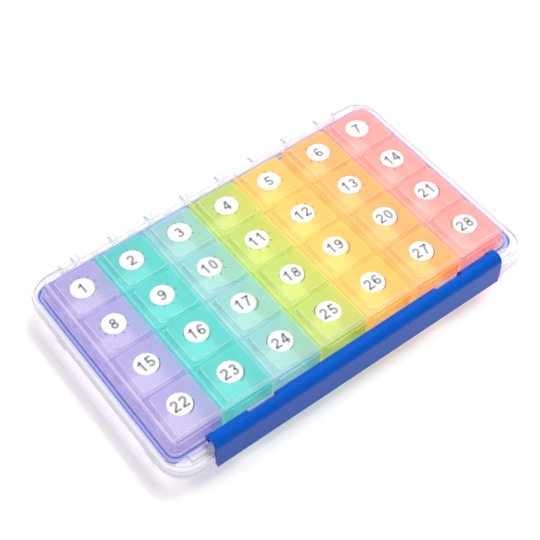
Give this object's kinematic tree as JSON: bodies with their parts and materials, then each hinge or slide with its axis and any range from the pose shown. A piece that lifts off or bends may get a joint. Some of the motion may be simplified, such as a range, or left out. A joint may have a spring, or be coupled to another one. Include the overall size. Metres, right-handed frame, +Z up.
{
  "type": "pill organizer",
  "caption": "Clear flat case with a hinged domed lid, soft seal and bar latch, holding coloured strips of flip-lid pill compartments side by side.",
  "frame": {"origin": "on the surface that the case stands on, under the middle of its bounding box", "axes": "+X along the long side, +Y towards the hinge at the back, +Z up"},
  "size_m": [0.202, 0.128, 0.0284],
  "materials": {
    "clear_plastic": "clear moulded plastic",
    "blue_silicone": "soft moulded silicone",
    "blue_plastic": "glossy moulded plastic",
    "violet_plastic": "translucent moulded plastic",
    "teal_plastic": "translucent moulded plastic",
    "sky_plastic": "translucent moulded plastic",
    "lime_plastic": "translucent moulded plastic",
    "yellow_plastic": "translucent moulded plastic",
    "orange_plastic": "translucent moulded plastic",
    "pink_plastic": "translucent moulded plastic"
  },
  "bodies": {
    "case_base": {"case_base": "clear_plastic", "violet_strip": "violet_plastic", "teal_strip": "teal_plastic", "sky_strip": "sky_plastic", "lime_strip": "lime_plastic", "yellow_strip": "yellow_plastic", "orange_strip": "orange_plastic", "pink_strip": "pink_plastic"},
    "case_lid": {"case_lid": "clear_plastic", "seal_ring": "blue_silicone"},
    "latch": {"latch": "blue_plastic"},
    "violet_lid_1": {"violet_lid_1": "violet_plastic"},
    "violet_lid_2": {"violet_lid_2": "violet_plastic"},
    "violet_lid_3": {"violet_lid_3": "violet_plastic"},
    "violet_lid_4": {"violet_lid_4": "violet_plastic"},
    "teal_lid_1": {"teal_lid_1": "teal_plastic"},
    "teal_lid_2": {"teal_lid_2": "teal_plastic"},
    "teal_lid_3": {"teal_lid_3": "teal_plastic"},
    "teal_lid_4": {"teal_lid_4": "teal_plastic"},
    "sky_lid_1": {"sky_lid_1": "sky_plastic"},
    "sky_lid_2": {"sky_lid_2": "sky_plastic"},
    "sky_lid_3": {"sky_lid_3": "sky_plastic"},
    "sky_lid_4": {"sky_lid_4": "sky_plastic"},
    "lime_lid_1": {"lime_lid_1": "lime_plastic"},
    "lime_lid_2": {"lime_lid_2": "lime_plastic"},
    "lime_lid_3": {"lime_lid_3": "lime_plastic"},
    "lime_lid_4": {"lime_lid_4": "lime_plastic"},
    "yellow_lid_1": {"yellow_lid_1": "yellow_plastic"},
    "yellow_lid_2": {"yellow_lid_2": "yellow_plastic"},
    "yellow_lid_3": {"yellow_lid_3": "yellow_plastic"},
    "yellow_lid_4": {"yellow_lid_4": "yellow_plastic"},
    "orange_lid_1": {"orange_lid_1": "orange_plastic"},
    "orange_lid_2": {"orange_lid_2": "orange_plastic"},
    "orange_lid_3": {"orange_lid_3": "orange_plastic"},
    "orange_lid_4": {"orange_lid_4": "orange_plastic"},
    "pink_lid_1": {"pink_lid_1": "pink_plastic"},
    "pink_lid_2": {"pink_lid_2": "pink_plastic"},
    "pink_lid_3": {"pink_lid_3": "pink_plastic"},
    "pink_lid_4": {"pink_lid_4": "pink_plastic"}
  },
  "joints": [
    {"name": "case_lid_hinge", "type": "hinge", "parent": "case_base", "child": "case_lid", "pos_m": [0, 0.06161, 0.017], "axis": [-1, 0, 0], "range_deg": [0, 180]},
    {"name": "latch_hinge", "type": "hinge", "parent": "case_lid", "child": "latch", "pos_m": [0, -0.06001, 0.02398], "axis": [-1, 0, 0], "range_deg": [0, 100]},
    {"name": "violet_lid_1_hinge", "type": "hinge", "parent": "case_base", "child": "violet_lid_1", "pos_m": [-0.0921, 0.03889, 0.02345], "axis": [0, -1, 0], "range_deg": [0, 100]},
    {"name": "violet_lid_2_hinge", "type": "hinge", "parent": "case_base", "child": "violet_lid_2", "pos_m": [-0.0921, 0.01324, 0.02345], "axis": [0, -1, 0], "range_deg": [0, 100]},
    {"name": "violet_lid_3_hinge", "type": "hinge", "parent": "case_base", "child": "violet_lid_3", "pos_m": [-0.0921, -0.01242, 0.02345], "axis": [0, -1, 0], "range_deg": [0, 100]},
    {"name": "violet_lid_4_hinge", "type": "hinge", "parent": "case_base", "child": "violet_lid_4", "pos_m": [-0.0921, -0.03807, 0.02345], "axis": [0, -1, 0], "range_deg": [0, 100]},
    {"name": "teal_lid_1_hinge", "type": "hinge", "parent": "case_base", "child": "teal_lid_1", "pos_m": [-0.0658, 0.03889, 0.02345], "axis": [0, -1, 0], "range_deg": [0, 100]},
    {"name": "teal_lid_2_hinge", "type": "hinge", "parent": "case_base", "child": "teal_lid_2", "pos_m": [-0.0658, 0.01324, 0.02345], "axis": [0, -1, 0], "range_deg": [0, 100]},
    {"name": "teal_lid_3_hinge", "type": "hinge", "parent": "case_base", "child": "teal_lid_3", "pos_m": [-0.0658, -0.01242, 0.02345], "axis": [0, -1, 0], "range_deg": [0, 100]},
    {"name": "teal_lid_4_hinge", "type": "hinge", "parent": "case_base", "child": "teal_lid_4", "pos_m": [-0.0658, -0.03807, 0.02345], "axis": [0, -1, 0], "range_deg": [0, 100]},
    {"name": "sky_lid_1_hinge", "type": "hinge", "parent": "case_base", "child": "sky_lid_1", "pos_m": [-0.0395, 0.03889, 0.02345], "axis": [0, -1, 0], "range_deg": [0, 100]},
    {"name": "sky_lid_2_hinge", "type": "hinge", "parent": "case_base", "child": "sky_lid_2", "pos_m": [-0.0395, 0.01324, 0.02345], "axis": [0, -1, 0], "range_deg": [0, 100]},
    {"name": "sky_lid_3_hinge", "type": "hinge", "parent": "case_base", "child": "sky_lid_3", "pos_m": [-0.0395, -0.01242, 0.02345], "axis": [0, -1, 0], "range_deg": [0, 100]},
    {"name": "sky_lid_4_hinge", "type": "hinge", "parent": "case_base", "child": "sky_lid_4", "pos_m": [-0.0395, -0.03807, 0.02345], "axis": [0, -1, 0], "range_deg": [0, 100]},
    {"name": "lime_lid_1_hinge", "type": "hinge", "parent": "case_base", "child": "lime_lid_1", "pos_m": [-0.0132, 0.03889, 0.02345], "axis": [0, -1, 0], "range_deg": [0, 100]},
    {"name": "lime_lid_2_hinge", "type": "hinge", "parent": "case_base", "child": "lime_lid_2", "pos_m": [-0.0132, 0.01324, 0.02345], "axis": [0, -1, 0], "range_deg": [0, 100]},
    {"name": "lime_lid_3_hinge", "type": "hinge", "parent": "case_base", "child": "lime_lid_3", "pos_m": [-0.0132, -0.01242, 0.02345], "axis": [0, -1, 0], "range_deg": [0, 100]},
    {"name": "lime_lid_4_hinge", "type": "hinge", "parent": "case_base", "child": "lime_lid_4", "pos_m": [-0.0132, -0.03807, 0.02345], "axis": [0, -1, 0], "range_deg": [0, 100]},
    {"name": "yellow_lid_1_hinge", "type": "hinge", "parent": "case_base", "child": "yellow_lid_1", "pos_m": [0.0131, 0.03889, 0.02345], "axis": [0, -1, 0], "range_deg": [0, 100]},
    {"name": "yellow_lid_2_hinge", "type": "hinge", "parent": "case_base", "child": "yellow_lid_2", "pos_m": [0.0131, 0.01324, 0.02345], "axis": [0, -1, 0], "range_deg": [0, 100]},
    {"name": "yellow_lid_3_hinge", "type": "hinge", "parent": "case_base", "child": "yellow_lid_3", "pos_m": [0.0131, -0.01242, 0.02345], "axis": [0, -1, 0], "range_deg": [0, 100]},
    {"name": "yellow_lid_4_hinge", "type": "hinge", "parent": "case_base", "child": "yellow_lid_4", "pos_m": [0.0131, -0.03807, 0.02345], "axis": [0, -1, 0], "range_deg": [0, 100]},
    {"name": "orange_lid_1_hinge", "type": "hinge", "parent": "case_base", "child": "orange_lid_1", "pos_m": [0.042, 0.03889, 0.02345], "axis": [0, -1, 0], "range_deg": [0, 100]},
    {"name": "orange_lid_2_hinge", "type": "hinge", "parent": "case_base", "child": "orange_lid_2", "pos_m": [0.042, 0.01324, 0.02345], "axis": [0, -1, 0], "range_deg": [0, 100]},
    {"name": "orange_lid_3_hinge", "type": "hinge", "parent": "case_base", "child": "orange_lid_3", "pos_m": [0.042, -0.01242, 0.02345], "axis": [0, -1, 0], "range_deg": [0, 100]},
    {"name": "orange_lid_4_hinge", "type": "hinge", "parent": "case_base", "child": "orange_lid_4", "pos_m": [0.042, -0.03807, 0.02345], "axis": [0, -1, 0], "range_deg": [0, 100]},
    {"name": "pink_lid_1_hinge", "type": "hinge", "parent": "case_base", "child": "pink_lid_1", "pos_m": [0.0683, 0.03889, 0.02345], "axis": [0, -1, 0], "range_deg": [0, 100]},
    {"name": "pink_lid_2_hinge", "type": "hinge", "parent": "case_base", "child": "pink_lid_2", "pos_m": [0.0683, 0.01324, 0.02345], "axis": [0, -1, 0], "range_deg": [0, 100]},
    {"name": "pink_lid_3_hinge", "type": "hinge", "parent": "case_base", "child": "pink_lid_3", "pos_m": [0.0683, -0.01242, 0.02345], "axis": [0, -1, 0], "range_deg": [0, 100]},
    {"name": "pink_lid_4_hinge", "type": "hinge", "parent": "case_base", "child": "pink_lid_4", "pos_m": [0.0683, -0.03807, 0.02345], "axis": [0, -1, 0], "range_deg": [0, 100]}
  ],
  "couplings": [
    {"joint": "violet_lid_1_hinge", "follows": "case_lid_hinge", "ratio": 0.55556},
    {"joint": "violet_lid_2_hinge", "follows": "case_lid_hinge", "ratio": 0.55556},
    {"joint": "violet_lid_3_hinge", "follows": "case_lid_hinge", "ratio": 0.55556},
    {"joint": "violet_lid_4_hinge", "follows": "case_lid_hinge", "ratio": 0.55556},
    {"joint": "teal_lid_1_hinge", "follows": "case_lid_hinge", "ratio": 0.55556},
    {"joint": "teal_lid_2_hinge", "follows": "case_lid_hinge", "ratio": 0.55556},
    {"joint": "teal_lid_3_hinge", "follows": "case_lid_hinge", "ratio": 0.55556},
    {"joint": "teal_lid_4_hinge", "follows": "case_lid_hinge", "ratio": 0.55556},
    {"joint": "sky_lid_1_hinge", "follows": "case_lid_hinge", "ratio": 0.55556},
    {"joint": "sky_lid_2_hinge", "follows": "case_lid_hinge", "ratio": 0.55556},
    {"joint": "sky_lid_3_hinge", "follows": "case_lid_hinge", "ratio": 0.55556},
    {"joint": "sky_lid_4_hinge", "follows": "case_lid_hinge", "ratio": 0.55556},
    {"joint": "lime_lid_1_hinge", "follows": "case_lid_hinge", "ratio": 0.55556},
    {"joint": "lime_lid_2_hinge", "follows": "case_lid_hinge", "ratio": 0.55556},
    {"joint": "lime_lid_3_hinge", "follows": "case_lid_hinge", "ratio": 0.55556},
    {"joint": "lime_lid_4_hinge", "follows": "case_lid_hinge", "ratio": 0.55556},
    {"joint": "yellow_lid_1_hinge", "follows": "case_lid_hinge", "ratio": 0.55556},
    {"joint": "yellow_lid_2_hinge", "follows": "case_lid_hinge", "ratio": 0.55556},
    {"joint": "yellow_lid_3_hinge", "follows": "case_lid_hinge", "ratio": 0.55556},
    {"joint": "yellow_lid_4_hinge", "follows": "case_lid_hinge", "ratio": 0.55556},
    {"joint": "orange_lid_1_hinge", "follows": "case_lid_hinge", "ratio": 0.55556},
    {"joint": "orange_lid_2_hinge", "follows": "case_lid_hinge", "ratio": 0.55556},
    {"joint": "orange_lid_3_hinge", "follows": "case_lid_hinge", "ratio": 0.55556},
    {"joint": "orange_lid_4_hinge", "follows": "case_lid_hinge", "ratio": 0.55556},
    {"joint": "pink_lid_1_hinge", "follows": "case_lid_hinge", "ratio": 0.55556},
    {"joint": "pink_lid_2_hinge", "follows": "case_lid_hinge", "ratio": 0.55556},
    {"joint": "pink_lid_3_hinge", "follows": "case_lid_hinge", "ratio": 0.55556},
    {"joint": "pink_lid_4_hinge", "follows": "case_lid_hinge", "ratio": 0.55556}
  ]
}
